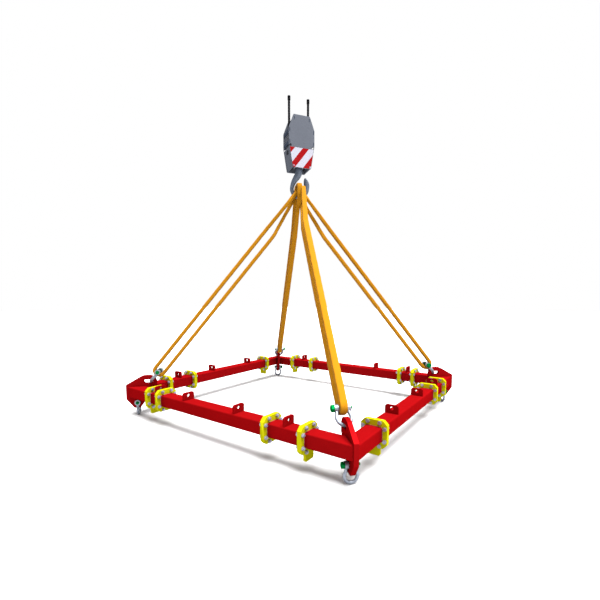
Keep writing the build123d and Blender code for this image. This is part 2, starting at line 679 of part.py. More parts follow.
def build_block():
    """Everything above the hook."""
    save("cheek_front", [IN_BLOCK * cheek(-1)])
    save("cheek_rear", [IN_BLOCK * cheek(1)])
    save("hazard_panels", [IN_BLOCK * panel(-1), IN_BLOCK * panel(1)])
    save("panel_bolts", [IN_BLOCK * bolt for face in (-1, 1) for bolt in panel_bolts(face)])
    save("tie_bars", [IN_BLOCK * bar for bar in tie_bars()])
    save("side_webs", [IN_BLOCK * side_web(-1), IN_BLOCK * side_web(1)])
    reach = CHEEK_INNER + PIN_SEAT - 0.5
    save("axle", [IN_BLOCK * cylinder_along_y(AXLE_RADIUS, -reach, reach, z=SHEAVE_Z)])
    save("axle_spacers", [IN_BLOCK * spacer for spacer in axle_spacers()])
    save("sheave", [IN_BLOCK * sheave()])
    bearing = ring_along_y(BEARING_RADIUS, AXLE_RADIUS + RUNNING_FIT, SHEAVE_HUB_WIDTH / 2, SHEAVE_Z)
    save("sheave_bearing", [IN_BLOCK * bearing])
    save("crosshead", [IN_BLOCK * crosshead()])
    save("thrust_bearing", thrust_bearing())
    save("rope", [IN_BLOCK * rope()])
    save("rope_ferrules", [IN_BLOCK * ferrule(-1), IN_BLOCK * ferrule(1)])


def rope_report():
    """Print the rope's volume against its section times its length, and its arcs' radius."""
    path = FilletPolyline(*rope_route(), radius=SHEAVE_PITCH - 1.5)
    expected = pi * ROPE_RADIUS**2 * path.length
    print(f"rope length {path.length:.1f} mm, arc radius {SHEAVE_PITCH - 1.5:.1f} mm")
    print(f"rope volume {rope().volume:.0f}, section times length {expected:.0f}")


build_frame()
build_shackles()
build_slings()
save("hook", [hook_body()])
save("hook_nut", [hook_nut()])
build_block()
rope_report()
print(f"leg angle {LEG_ANGLE:.2f} degrees, pin distance {PIN_DISTANCE:.1f} mm")
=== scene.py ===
"""Studio view of the spreader frame rig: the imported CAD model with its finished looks, in metres."""
import json
import math

import bmesh
import bpy
import numpy as np
from mathutils import Matrix, Vector


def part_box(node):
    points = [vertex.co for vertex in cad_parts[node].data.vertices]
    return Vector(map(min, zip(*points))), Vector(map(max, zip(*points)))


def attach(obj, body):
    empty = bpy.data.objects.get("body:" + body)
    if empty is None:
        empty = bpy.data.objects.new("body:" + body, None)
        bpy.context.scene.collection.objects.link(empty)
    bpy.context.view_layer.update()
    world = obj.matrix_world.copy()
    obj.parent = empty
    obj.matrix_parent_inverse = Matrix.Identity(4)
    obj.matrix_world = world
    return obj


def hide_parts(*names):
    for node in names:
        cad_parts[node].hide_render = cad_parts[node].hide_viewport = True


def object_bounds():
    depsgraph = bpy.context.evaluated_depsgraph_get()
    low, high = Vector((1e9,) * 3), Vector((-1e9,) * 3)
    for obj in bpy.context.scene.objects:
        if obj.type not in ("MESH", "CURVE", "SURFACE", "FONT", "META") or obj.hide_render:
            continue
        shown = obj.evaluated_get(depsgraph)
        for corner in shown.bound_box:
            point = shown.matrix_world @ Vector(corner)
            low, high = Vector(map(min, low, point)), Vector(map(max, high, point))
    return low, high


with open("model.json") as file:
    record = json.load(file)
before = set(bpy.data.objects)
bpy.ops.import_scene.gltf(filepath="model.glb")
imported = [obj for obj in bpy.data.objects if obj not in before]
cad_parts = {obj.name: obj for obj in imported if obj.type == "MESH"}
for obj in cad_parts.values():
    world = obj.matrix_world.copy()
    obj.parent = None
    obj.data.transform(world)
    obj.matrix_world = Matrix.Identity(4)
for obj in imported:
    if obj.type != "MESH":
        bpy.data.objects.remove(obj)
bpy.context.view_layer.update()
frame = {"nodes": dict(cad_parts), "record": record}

NODES = frame["nodes"]
RECORD = frame["record"]
SLOT_OF = {row["node"]: row["material_slot"] for row in RECORD["subparts"]}

# ---------------------------------------------------------------- places that the pieces share
BEAM_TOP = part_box("front_beam")[1].z
FRAME_CENTRE = Vector((0, 0, BEAM_TOP))
HOOK_YAW = math.radians(47.5)
BLOCK_YAW = math.radians(55.5)
BOWL_Z = BEAM_TOP + 2.358


# ---------------------------------------------------------------- camera
CAMERA_PLACE = FRAME_CENTRE + Vector((2.632, -3.616, 1.058))
CAMERA_YAW = math.radians(124.522)
CAMERA_PITCH = math.radians(-5.709)
CAMERA_FOCUS = 0.5959          # focal length over the picture's width
CAMERA_SHIFT = (-0.0145, 0.0553)


def make_camera():
    """The photograph's camera: wide lens, just above the frame."""
    data = bpy.data.cameras.new("camera")
    data.sensor_width = 36
    data.lens = CAMERA_FOCUS * data.sensor_width
    data.shift_x, data.shift_y = CAMERA_SHIFT
    data.clip_end = 200
    camera = bpy.data.objects.new("camera", data)
    look = Vector((
        math.cos(CAMERA_YAW) * math.cos(CAMERA_PITCH),
        math.sin(CAMERA_YAW) * math.cos(CAMERA_PITCH),
        math.sin(CAMERA_PITCH),
    ))
    camera.location = CAMERA_PLACE
    camera.rotation_euler = look.to_track_quat("-Z", "Y").to_euler()
    bpy.context.scene.collection.objects.link(camera)
    bpy.context.scene.camera = camera


# ---------------------------------------------------------------- node helpers
class Graph:
    """A material's node tree, with short calls for the nodes used here."""

    def __init__(self, name):
        self.material = bpy.data.materials.new(name)
        self.material.use_nodes = True
        self.tree = self.material.node_tree
        self.shader = self.tree.nodes["Principled BSDF"]
        self.coords = self.tree.nodes.new("ShaderNodeTexCoord")

    def node(self, kind, inputs=None, **settings):
        made = self.tree.nodes.new(kind)
        for key, value in settings.items():
            setattr(made, key, value)
        for key, value in (inputs or {}).items():
            self.feed(made.inputs[key], value)
        return made

    def feed(self, socket, value):
        if isinstance(value, bpy.types.NodeSocket):
            self.tree.links.new(value, socket)
        else:
            socket.default_value = value

    def noise(self, scale, detail=3.0, roughness=0.5, vector=None, distortion=0.0):
        made = self.node("ShaderNodeTexNoise", {
            "Vector": vector or self.coords.outputs["Object"],
            "Scale": scale, "Detail": detail, "Roughness": roughness, "Distortion": distortion,
        })
        return made.outputs["Fac"]

    def math(self, operation, first, second=0.0, clamp=False):
        made = self.node("ShaderNodeMath", operation=operation, use_clamp=clamp)
        self.feed(made.inputs[0], first)
        self.feed(made.inputs[1], second)
        return made.outputs[0]

    def span(self, value, low, high, to_low=0.0, to_high=1.0):
        """value taken from low..high to to_low..to_high, clamped."""
        made = self.node("ShaderNodeMapRange", {
            "Value": value, "From Min": low, "From Max": high, "To Min": to_low, "To Max": to_high,
        })
        return made.outputs[0]

    def mix(self, share, first, second):
        made = self.node("ShaderNodeMix", data_type="RGBA")
        self.feed(made.inputs[0], share)
        self.feed(made.inputs[6], first)
        self.feed(made.inputs[7], second)
        return made.outputs[2]

    def bump(self, height, distance, strength=1.0, normal=None):
        inputs = {"Height": height, "Distance": distance, "Strength": strength}
        if normal is not None:
            inputs["Normal"] = normal
        return self.node("ShaderNodeBump", inputs).outputs[0]

    def set(self, **values):
        names = {
            "color": "Base Color", "roughness": "Roughness", "metallic": "Metallic", "normal": "Normal",
            "sheen": "Sheen Weight", "sheen_roughness": "Sheen Roughness",
            "specular": "Specular IOR Level", "tint": "Specular Tint",
        }
        for key, value in values.items():
            self.feed(self.shader.inputs[names[key]], value)
        return self.material


def shade(color, factor):
    """A colour made lighter or darker."""
    return tuple(min(1.0, part * factor) for part in color[:3]) + (1.0,)


def edge_mask(graph, radius):
    """1 along convex and concave edges, 0 on flats."""
    bevel = graph.node("ShaderNodeBevel", {"Radius": radius}, samples=4)
    geometry = graph.node("ShaderNodeNewGeometry")
    dot = graph.node("ShaderNodeVectorMath", operation="DOT_PRODUCT")
    graph.feed(dot.inputs[0], bevel.outputs[0])
    graph.feed(dot.inputs[1], geometry.outputs["Normal"])
    return graph.span(dot.outputs["Value"], 0.995, 0.93)


def paint(name, color, under, roughness=0.3, wear=0.5, grain=0.0):
    """Sprayed paint: orange peel, faint dust and tone changes, small chips along the edges."""
    graph = Graph(name)
    tone = graph.noise(2.2, 4, 0.6)
    dust = graph.span(graph.noise(9.0, 6, 0.7), 0.45, 0.75)
    speck = graph.noise(420.0, 2, 0.5)
    base = graph.mix(graph.span(tone, 0.35, 0.65), shade(color, 0.93), shade(color, 1.05))
    base = graph.mix(graph.math("MULTIPLY", dust, 0.25), base, shade(color, 0.75))
    if grain:
        base = graph.mix(graph.span(speck, 0.35, 0.65, 0.0, grain), base, shade(color, 0.72))
    chips = graph.span(graph.noise(55.0, 5, 0.75), 0.56, 0.62)
    worn = graph.math("MULTIPLY", graph.math("MULTIPLY", edge_mask(graph, 0.0022), chips), wear)
    base = graph.mix(worn, base, under)
    tint = shade(color, 0.9 / max(color))
    soft_edge = graph.node("ShaderNodeBevel", {"Radius": 0.0015}, samples=4).outputs[0]
    peel = graph.noise(230.0, 2, 0.5)
    height = graph.math("ADD", graph.math("MULTIPLY", peel, 0.6), graph.math("MULTIPLY", worn, -0.8))
    rough = graph.span(graph.noise(14.0, 5, 0.65), 0.3, 0.7, roughness - 0.06, roughness + 0.1)
    return graph.set(
        color=base, roughness=graph.math("ADD", rough, graph.math("MULTIPLY", worn, 0.3)),
        normal=graph.bump(height, 0.0006, 0.35, soft_edge), specular=0.0, metallic=0.25, tint=tint,
    )


def steel(name, color, roughness, spangle=0.0, scale=60.0, metallic=0.9):
    """Bare, plated or galvanised steel; spangle is how far zinc crystals show."""
    graph = Graph(name)
    cells = graph.node("ShaderNodeTexVoronoi", {"Vector": graph.coords.outputs["Object"], "Scale": scale})
    cell_tone = graph.node("ShaderNodeSeparateColor", {"Color": cells.outputs["Color"]}).outputs[0]
    grain = graph.noise(350.0, 3, 0.6)
    blotch = graph.noise(18.0, 5, 0.6)
    base = graph.mix(graph.math("MULTIPLY", cell_tone, spangle), shade(color, 1.08), shade(color, 0.72))
    base = graph.mix(graph.span(blotch, 0.45, 0.8, 0.0, 0.35), base, shade(color, 0.55))
    rough = graph.math("ADD", graph.span(grain, 0.3, 0.7, roughness - 0.08, roughness + 0.08),
                       graph.math("MULTIPLY", cell_tone, 0.12 * spangle))
    height = graph.math("ADD", grain, graph.math("MULTIPLY", blotch, 0.6))
    return graph.set(color=base, roughness=rough, metallic=metallic, normal=graph.bump(height, 0.0004, 0.3))


def forged_paint(name, color):
    """Satin paint over a forging, with the forging's soft pitting."""
    graph = Graph(name)
    pits = graph.noise(70.0, 6, 0.65)
    tone = graph.noise(12.0, 4, 0.6)
    base = graph.mix(graph.span(tone, 0.35, 0.7), shade(color, 1.25), shade(color, 0.75))
    rub = graph.span(graph.noise(30.0, 5, 0.7), 0.62, 0.7, 0.0, 0.35)
    base = graph.mix(rub, base, (0.14, 0.15, 0.16, 1.0))
    return graph.set(
        color=base, roughness=graph.span(pits, 0.3, 0.7, 0.36, 0.52), metallic=0.25,
        normal=graph.bump(pits, 0.0006, 0.25), specular=0.3,
    )


# Hazard bands, measured across the block and up from the beams' top
BAND_SLOPE = 1.28
BAND_PERIOD = 0.222
BAND_RED = 0.100
BAND_CENTRE = 2.7285


def hazard_paint(name):
    """Red and white diagonal bands of reflective sheet, rising to the block's right."""
    graph = Graph(name)
    turned = graph.node("ShaderNodeVectorRotate", {
        "Vector": graph.coords.outputs["Object"], "Angle": -BLOCK_YAW,
    }, rotation_type="Z_AXIS")
    parts = graph.node("ShaderNodeSeparateXYZ", {"Vector": turned.outputs[0]})
    across, depth, height = parts.outputs
    facing = graph.math("SIGN", depth)
    across = graph.math("MULTIPLY", across, graph.math("MULTIPLY", facing, -1.0))
    ramp = graph.math("SUBTRACT", height, graph.math("MULTIPLY", across, BAND_SLOPE))
    start = BEAM_TOP + BAND_CENTRE - BAND_RED / 2
    rise = graph.math("SUBTRACT", ramp, start - 20 * BAND_PERIOD)
    cycle = graph.math("FRACT", graph.math("DIVIDE", rise, BAND_PERIOD))
    red = graph.math("LESS_THAN", cycle, BAND_RED / BAND_PERIOD)
    honey = graph.node("ShaderNodeTexVoronoi", {"Vector": graph.coords.outputs["Object"], "Scale": 260.0},
                       feature="DISTANCE_TO_EDGE")
    lines = graph.span(honey.outputs["Distance"], 0.0, 0.08)
    white = graph.mix(lines, (0.22, 0.22, 0.255, 1), (0.26, 0.26, 0.30, 1))
    scarlet = graph.mix(lines, (0.13, 0.0012, 0.0018, 1), (0.165, 0.0015, 0.0025, 1))
    grime = graph.span(graph.noise(16.0, 6, 0.7), 0.5, 0.8, 0.0, 0.16)
    base = graph.mix(grime, graph.mix(red, white, scarlet), (0.10, 0.095, 0.09, 1))
    return graph.set(color=base, roughness=graph.span(grime, 0.0, 0.16, 0.28, 0.45),
                     normal=graph.bump(lines, 0.0001, 0.15), specular=0.05)


WARP_PITCH = 0.0046            # across the sling
WEFT_PITCH = 0.0038            # along it


def webbing(name, color):
    """Woven polyester sleeve: ribs along its length crossed by the weft, with sheen and soiling."""
    graph = Graph(name)
    place = graph.node("ShaderNodeUVMap", uv_map="weave").outputs[0]
    parts = graph.node("ShaderNodeSeparateXYZ", {"Vector": place})
    around, along, _ = parts.outputs
    warp_turn = graph.math("MULTIPLY", around, 2 * math.pi / WARP_PITCH)
    weft_turn = graph.math("MULTIPLY", along, 2 * math.pi / WEFT_PITCH)
    warp = graph.math("SINE", warp_turn)
    shift = graph.math("MULTIPLY", graph.math("SIGN", warp), math.pi / 2)
    weft = graph.math("SINE", graph.math("ADD", weft_turn, shift))
    ribs = graph.math("MULTIPLY", graph.math("ABSOLUTE", warp), 0.6)
    weave = graph.math("ADD", ribs, graph.math("MULTIPLY", weft, 0.4))
    tone = graph.noise(7.0, 4, 0.6)
    fibre = graph.noise(900.0, 2, 0.6)
    base = graph.mix(graph.span(weave, -0.3, 1.0), shade(color, 0.86), shade(color, 1.04))
    base = graph.mix(graph.span(tone, 0.3, 0.7, 0.0, 0.30), base, shade(color, 0.80))
    soil = graph.span(graph.noise(12.0, 5, 0.6), 0.60, 0.85, 0.0, 0.18)
    base = graph.mix(soil, base, (0.09, 0.045, 0.012, 1))
    height = graph.math("ADD", weave, graph.math("MULTIPLY", fibre, 0.3))
    return graph.set(
        color=base, roughness=graph.span(fibre, 0.3, 0.7, 0.72, 0.88), sheen=0.02, sheen_roughness=0.5,
        specular=0.02, normal=graph.bump(height, 0.0003, 0.15),
    )


WIRES_ROUND = 42
WIRE_PITCH = 0.006


def wire_rope(name):
    """Greased black wire: fine wires across the lay of the strands."""
    graph = Graph(name)
    place = graph.node("ShaderNodeUVMap", uv_map="lay").outputs[0]
    parts = graph.node("ShaderNodeSeparateXYZ", {"Vector": place})
    around, along, _ = parts.outputs
    round_turn = graph.math("MULTIPLY", around, 2 * math.pi * WIRES_ROUND)
    turn = graph.math("ADD", round_turn, graph.math("MULTIPLY", along, 2 * math.pi / WIRE_PITCH))
    wires = graph.math("ABSOLUTE", graph.math("SINE", turn))
    grease = graph.noise(60.0, 5, 0.6)
    base = graph.mix(wires, (0.002, 0.002, 0.003, 1), (0.008, 0.008, 0.010, 1))
    base = graph.mix(graph.span(grease, 0.5, 0.8, 0.0, 0.5), base, (0.004, 0.003, 0.002, 1))
    return graph.set(color=base, roughness=graph.span(grease, 0.3, 0.7, 0.45, 0.65), metallic=0.0,
                     specular=0.02, normal=graph.bump(wires, 0.0004, 0.4))


MATERIALS = {
    "red_paint": paint("red_paint", (0.140, 0.0016, 0.0022), (0.08, 0.04, 0.035, 1.0), 0.36, 0.30),
    "yellow_paint": paint("yellow_paint", (0.275, 0.265, 0.0025), (0.12, 0.11, 0.08, 1.0), 0.42, 0.40),
    "green_paint": paint("green_paint", (0.0005, 0.095, 0.020), (0.08, 0.10, 0.09, 1.0), 0.40, 0.3),
    "block_paint": paint("block_paint", (0.077, 0.083, 0.099), (0.12, 0.12, 0.13, 1.0), 0.48, 0.4, 0.4),
    "hook_paint": forged_paint("hook_paint", (0.050, 0.062, 0.084)),
    "hazard_paint": hazard_paint("hazard_paint"),
    "zinc_fastener": steel("zinc_fastener", (0.23, 0.22, 0.29), 0.34, 0.15, metallic=0.7),
    "galvanised_steel": steel("galvanised_steel", (0.18, 0.195, 0.23), 0.36, 0.4, 90.0, 0.75),
    "bare_steel": steel("bare_steel", (0.16, 0.16, 0.18), 0.34, 0.0),
    "sling_webbing": webbing("sling_webbing", (0.245, 0.103, 0.0032)),
    "wire_rope": wire_rope("wire_rope"),
}
BAR_PAINT = paint("bar_paint", (0.030, 0.036, 0.050), (0.10, 0.10, 0.11, 1.0), 0.50, 0.4)
WELD = steel("weld_bead", (0.125, 0.003, 0.004), 0.45, 0.0, 60.0, 0.0)


# ---------------------------------------------------------------- mesh helpers
def turn_outwards(mesh):
    """Faces all turned outwards."""
    work = bmesh.new()
    work.from_mesh(mesh)
    bmesh.ops.recalc_face_normals(work, faces=work.faces)
    work.to_mesh(mesh)
    work.free()
    mesh.update()


def make_piece(name, verts, faces, slot, body, replaces=(), smooth=True, material=None):
    """A mesh object with its material, riding on a body."""
    mesh = bpy.data.meshes.new(name)
    mesh.from_pydata([tuple(v) for v in verts], [], [tuple(f) for f in faces])
    mesh.validate()
    turn_outwards(mesh)
    if smooth:
        mesh.shade_smooth()
    mesh.materials.append(material or MATERIALS[slot])
    piece = bpy.data.objects.new(name, mesh)
    bpy.context.scene.collection.objects.link(piece)
    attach(piece, body)
    if replaces:
        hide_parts(*replaces)
    return piece


SHARP_ANGLE = math.radians(35)
WELD_REACH = 0.00002
EDGE_WIDTH = {"red_paint": 0.0018, "green_paint": 0.0025, "block_paint": 0.0016}
OTHER_EDGE_WIDTH = 0.0012


def finish_cad_nodes():
    """Give every CAD node its material, smooth round faces and, but for the drilled plates, soft edges."""
    by_angle = smooth_group()
    for name, node in NODES.items():
        slot = SLOT_OF[name]
        node.data.materials.clear()
        node.data.materials.append(BAR_PAINT if name == "tie_bars" else MATERIALS[slot])
        weld = node.modifiers.new("weld", "WELD")
        weld.merge_threshold = WELD_REACH
        smooth = node.modifiers.new("smooth", "NODES")
        smooth.node_group = by_angle
        if slot == "yellow_paint":
            continue               # a bevel tears round the plates' bolt holes
        bevel = node.modifiers.new("edges", "BEVEL")
        bevel.width = EDGE_WIDTH.get(slot, OTHER_EDGE_WIDTH)
        bevel.segments = 2
        bevel.limit_method = "ANGLE"
        bevel.angle_limit = SHARP_ANGLE
        bevel.use_clamp_overlap = True
        bevel.harden_normals = True


def closed_tube(rings, closed=True):
    """Faces between rings of equal size; the last joins the first if closed."""
    verts = [v for ring in rings for v in ring]
    count = len(rings[0])
    faces = []
    spans = len(rings) if closed else len(rings) - 1
    for i in range(spans):
        start, after = i * count, ((i + 1) % len(rings)) * count
        for j in range(count):
            k = (j + 1) % count
            faces.append((start + j, start + k, after + k, after + j))
    return verts, faces


# ---------------------------------------------------------------- rope
ROPE_DIAMETER = 0.028
ROPE_STEP = 0.004
SHEAVE_PITCH = 0.119
SHEAVE_Z = -0.480
ROPE_END = -0.023
ROPE_LEAD = SHEAVE_Z + 0.132


def in_block(x, y, z):
    """A point of the hook block's own frame, set in the row frame."""
    return Matrix.Rotation(BLOCK_YAW, 3, "Z") @ Vector((x, y, z))


def rope_points():
    """The rope's corners: down one fall, round the sheave in four turns, up the other."""
    corner = SHEAVE_PITCH / math.cos(math.radians(22.5))
    points = [in_block(-SHEAVE_PITCH, 0, ROPE_END), in_block(-SHEAVE_PITCH, 0, ROPE_LEAD)]
    for step in range(4):
        angle = math.radians(202.5 + 45 * step)
        points.append(in_block(corner * math.cos(angle), 0, SHEAVE_Z + corner * math.sin(angle)))
    points += [in_block(SHEAVE_PITCH, 0, ROPE_LEAD), in_block(SHEAVE_PITCH, 0, ROPE_END)]
    return points


def curve_line(points):
    """Points along the smooth NURBS line with these control points."""
    data = bpy.data.curves.new("route", "CURVE")
    data.dimensions = "3D"
    data.resolution_u = 40
    spline = data.splines.new("NURBS")
    spline.points.add(len(points) - 1)
    for place, point in zip(spline.points, points):
        place.co = (*point, 1.0)
    spline.order_u = 3
    spline.use_endpoint_u = True
    route = bpy.data.objects.new("route", data)
    mesh = bpy.data.meshes.new_from_object(route)
    line = [vertex.co.copy() for vertex in mesh.vertices]
    bpy.data.meshes.remove(mesh)
    bpy.data.objects.remove(route)
    bpy.data.curves.remove(data)
    return line


def rope():
    """Six strands laid round a core, along the rope's line."""
    line = curve_line(rope_points())
    side = in_block(0, 1, 0)
    strand_radius = ROPE_DIAMETER / 6
    lay_length = 6.5 * ROPE_DIAMETER
    verts, faces, marks = [], [], []
    run = 0.0
    runs = [0.0]
    for a, b in zip(line, line[1:]):
        run += (b - a).length
        runs.append(run)
    steps = int(run / ROPE_STEP)
    xs = np.array([tuple(p) for p in line])
    where = np.linspace(0, run, steps + 1)
    path = [Vector([np.interp(s, runs, xs[:, k]) for k in range(3)]) for s in where]
    around = 8
    for strand in range(7):
        start = len(verts)
        for i, place in enumerate(path):
            ahead = (path[min(i + 1, steps)] - path[max(i - 1, 0)]).normalized()
            across = ahead.cross(side).normalized()
            turn = 2 * math.pi * (strand / 6 + where[i] / lay_length)
            out = (side * math.cos(turn) + across * math.sin(turn)) if strand < 6 else Vector((0, 0, 0))
            middle = place + out * (ROPE_DIAMETER / 2 - strand_radius)
            radius = strand_radius * 1.08 if strand < 6 else ROPE_DIAMETER / 2 - strand_radius
            for j in range(around):
                angle = 2 * math.pi * j / around
                verts.append(middle + (side * math.cos(angle) + across * math.sin(angle)) * radius)
                marks.append((j / around, where[i]))
        for i in range(steps):
            for j in range(around):
                a = start + i * around + j
                b = start + i * around + (j + 1) % around
                faces.append((a, b, b + around, a + around))
        faces.append([start + j for j in reversed(range(around))])
        faces.append([start + steps * around + j for j in range(around)])
    piece = make_piece("wire_rope_strands", verts, faces, "wire_rope", "block", ["rope"])
    mark_uv(piece, "lay", marks, 1.0)


def mark_uv(piece, name, marks, turn):
    """A UV layer from one mark per vertex; a face over the seam takes its first edge's turn up by one."""
    layer = piece.data.uv_layers.new(name=name)
    for polygon in piece.data.polygons:
        places = [marks[v] for v in polygon.vertices]
        high = max(place[0] for place in places)
        for loop, place in zip(polygon.loop_indices, places):
            first = place[0] + turn if high - place[0] > turn / 2 else place[0]
            layer.data[loop].uv = (first, place[1])


# ---------------------------------------------------------------- slings
SLING_WIDTH = 0.066
SLING_THICK = 0.043
SLING_INNER = 0.036
SLING_STEP = 0.010
STRAND_OFFSET = SLING_INNER + SLING_THICK / 2
SLEEVE_GIRTH = 0.18            # once round the sleeve, for its weave
LEG_TOP = BOWL_Z - 0.088
PIN_RADIUS = 0.0175
PIN_DISTANCE = 2.7030
CROWN = Vector((1.3251, 1.2051))
LEG_ANGLE = math.radians(39.03)
LEG_YAWS = {
    "front_left": math.pi + math.atan2(CROWN.y, CROWN.x),
    "front_right": -math.atan2(CROWN.y, CROWN.x),
    "rear_right": math.atan2(CROWN.y, CROWN.x),
    "rear_left": math.pi - math.atan2(CROWN.y, CROWN.x),
}
EYE_CENTRE = PIN_DISTANCE - (SLING_INNER - PIN_RADIUS - 0.0003)


def leg_place(yaw, distance, offset):
    """A point in a leg's upright plane: distance down the leg, offset square to it."""
    outward = distance * math.sin(LEG_ANGLE) + offset * math.cos(LEG_ANGLE)
    up = LEG_TOP - distance * math.cos(LEG_ANGLE) + offset * math.sin(LEG_ANGLE)
    return Vector((outward * math.cos(yaw), outward * math.sin(yaw), up))


def at_hook(u, v, z):
    """A point of the hook's frame, z from the bowl's centre, set in the row frame."""
    return Matrix.Rotation(HOOK_YAW, 3, "Z") @ Vector((u, v, z)) + Vector((0, 0, BOWL_Z))


def row(place, wide, width, thick, radius):
    """One station of a sling: its centre, the way its width runs, its section and its corner's radius."""
    return {"place": place, "wide": wide.normalized(), "size": (width, thick), "radius": radius}


def leg_rows(yaw, start):
    """The eye round the shackle's pin and both strands up to start, from the upper strand down and round."""
    level = Vector((-math.sin(yaw), math.cos(yaw), 0))
    rows = [row(leg_place(yaw, start, STRAND_OFFSET), level, SLING_WIDTH, SLING_THICK, 0.05),
            row(leg_place(yaw, EYE_CENTRE - 0.02, STRAND_OFFSET), level, SLING_WIDTH, SLING_THICK, 0.0)]
    for step in range(3):
        angle = math.radians(60 * step - 60)
        reach = STRAND_OFFSET / math.cos(math.radians(30))
        place = leg_place(yaw, EYE_CENTRE + reach * math.cos(angle), -reach * math.sin(angle))
        rows.append(row(place, level, SLING_WIDTH * 0.97, SLING_THICK * 0.98, STRAND_OFFSET))
    rows += [row(leg_place(yaw, EYE_CENTRE - 0.02, -STRAND_OFFSET), level, SLING_WIDTH, SLING_THICK, 0.0),
             row(leg_place(yaw, start, -STRAND_OFFSET), level, SLING_WIDTH, SLING_THICK, 0.05)]
    return rows


def same_way(rows, first):
    """Rows whose width runs the same way as the first row's, so that the sling has no half turn."""
    for each in rows:
        if each["wide"].dot(first["wide"]) < 0:
            each["wide"] = -each["wide"]
    return rows


def side_rows(corner):
    """A sling in the hook's plane: one strand in front of the hook, one behind it."""
    yaw = LEG_YAWS[corner]
    side = 1 if corner == "rear_right" else -1
    along = at_hook(1, 0, 0) - at_hook(0, 0, 0)
    rows = leg_rows(yaw, 0.56)
    hook_rows = [
        row(at_hook(side * 0.120, 0.050, -0.225), rows[0]["wide"], 0.050, 0.040, 0.12),
        row(at_hook(side * 0.0218, 0.050, -0.0375), along, 0.046, 0.040, 0.026),
        row(at_hook(side * 0.0218, -0.050, -0.0375), along, 0.046, 0.040, 0.026),
        row(at_hook(side * 0.140, -0.050, -0.180), rows[0]["wide"], 0.050, 0.040, 0.12),
    ]
    return rows + same_way(hook_rows, rows[0])


def cross_rows(corner):
    """A sling across the hook: one strand over the saddle, one under the hook."""
    yaw = LEG_YAWS[corner]
    near = corner == "front_right"
    front = -1 if near else 1
    place, band, height = (0.036, 0.052, 0.008) if near else (-0.008, 0.060, 0.040)
    along = at_hook(1, 0, 0) - at_hook(0, 0, 0)
    rows = leg_rows(yaw, 0.50)
    hook_rows = [
        row(at_hook(place, front * 0.024, -0.208), along, 0.050, 0.040, 0.12),
        row(at_hook(place, -front * 0.095, -0.108), along, band, 0.036, 0.05),
        row(at_hook(place, -front * 0.095, height), along, band, 0.035, 0.026),
        row(at_hook(place, front * 0.094, height), along, band, 0.035, 0.040),
    ]
    return rows + same_way(hook_rows, rows[0])


PLACE_PASSES = 6               # how far a sling's line is softened
TWIST_PASSES = 160             # how far its width and twist are


def rounded_rows(rows, spacing):
    """Even steps along closed rows: straight runs with each corner rounded to its radius."""
    count = len(rows)
    dense = []
    for i in range(count):
        before, here, after = rows[i - 1], rows[i], rows[(i + 1) % count]
        back = before["place"] - here["place"]
        ahead = after["place"] - here["place"]
        turn = math.pi - back.angle(ahead)
        reach = here["radius"] * math.tan(turn / 2)
        reach = min(reach, back.length * 0.499, ahead.length * 0.499)
        start = here["place"] + back.normalized() * reach
        end = here["place"] + ahead.normalized() * reach
        for step in range(13):
            t = step / 12
            point = start * (1 - t) ** 2 + here["place"] * 2 * t * (1 - t) + end * t ** 2
            dense.append([*point, *here["wide"], *here["size"]])
    dense.append(dense[0])
    dense = np.array(dense)
    gaps = np.linalg.norm(np.diff(dense[:, :3], axis=0), axis=1)
    run = np.concatenate([[0], np.cumsum(gaps)]) + np.arange(len(dense)) * 1e-9
    steps = int(run[-1] / spacing)
    where = np.linspace(0, run[-1], steps, endpoint=False)
    even = np.stack([np.interp(where, run, dense[:, k]) for k in range(8)], 1)
    for turn in range(TWIST_PASSES):
        softer = (np.roll(even, 1, 0) + 2 * even + np.roll(even, -1, 0)) / 4
        even[:, 3:] = softer[:, 3:]
        if turn < PLACE_PASSES:
            even[:, :3] = softer[:, :3]
    return even, where


def sling(corner, rows):
    """One endless round sling: a soft woven sleeve over its core, a little creased."""
    even, where = rounded_rows(rows, SLING_STEP)
    count = len(even)
    around = 32
    rings, marks = [], []
    for i in range(count):
        place = Vector(even[i, :3])
        ahead = Vector(even[(i + 1) % count, :3] - even[i - 1, :3]).normalized()
        wide = Vector(even[i, 3:6])
        wide = (wide - ahead * wide.dot(ahead)).normalized()
        deep = ahead.cross(wide)
        width, thick = even[i, 6] / 2, even[i, 7] / 2
        ring = []
        for j in range(around):
            angle = 2 * math.pi * j / around
            c, s = math.cos(angle), math.sin(angle)
            x = math.copysign(abs(c) ** 0.40, c)
            y = math.copysign(abs(s) ** 0.40, s)
            crease = 0.0004 * math.sin(where[i] * 37 + 3 * angle)
            crease += 0.0004 * math.sin(where[i] * 61 - 5 * angle + 1.3)
            ring.append(place + wide * x * (width - 0.0012 + crease) + deep * y * (thick - 0.0012 + crease))
            marks.append((j / around * SLEEVE_GIRTH, where[i]))
        rings.append(ring)
    verts, faces = closed_tube(rings)
    piece = make_piece(f"round_sling_{corner}", verts, faces, "sling_webbing", "rig", [f"sling_{corner}"])
    mark_uv(piece, "weave", marks, SLEEVE_GIRTH)


def slings():
    """Two slings in the hook's plane and two across it."""
    for corner in ("front_left", "rear_right"):
        sling(corner, side_rows(corner))
    for corner in ("front_right", "rear_left"):
        sling(corner, cross_rows(corner))


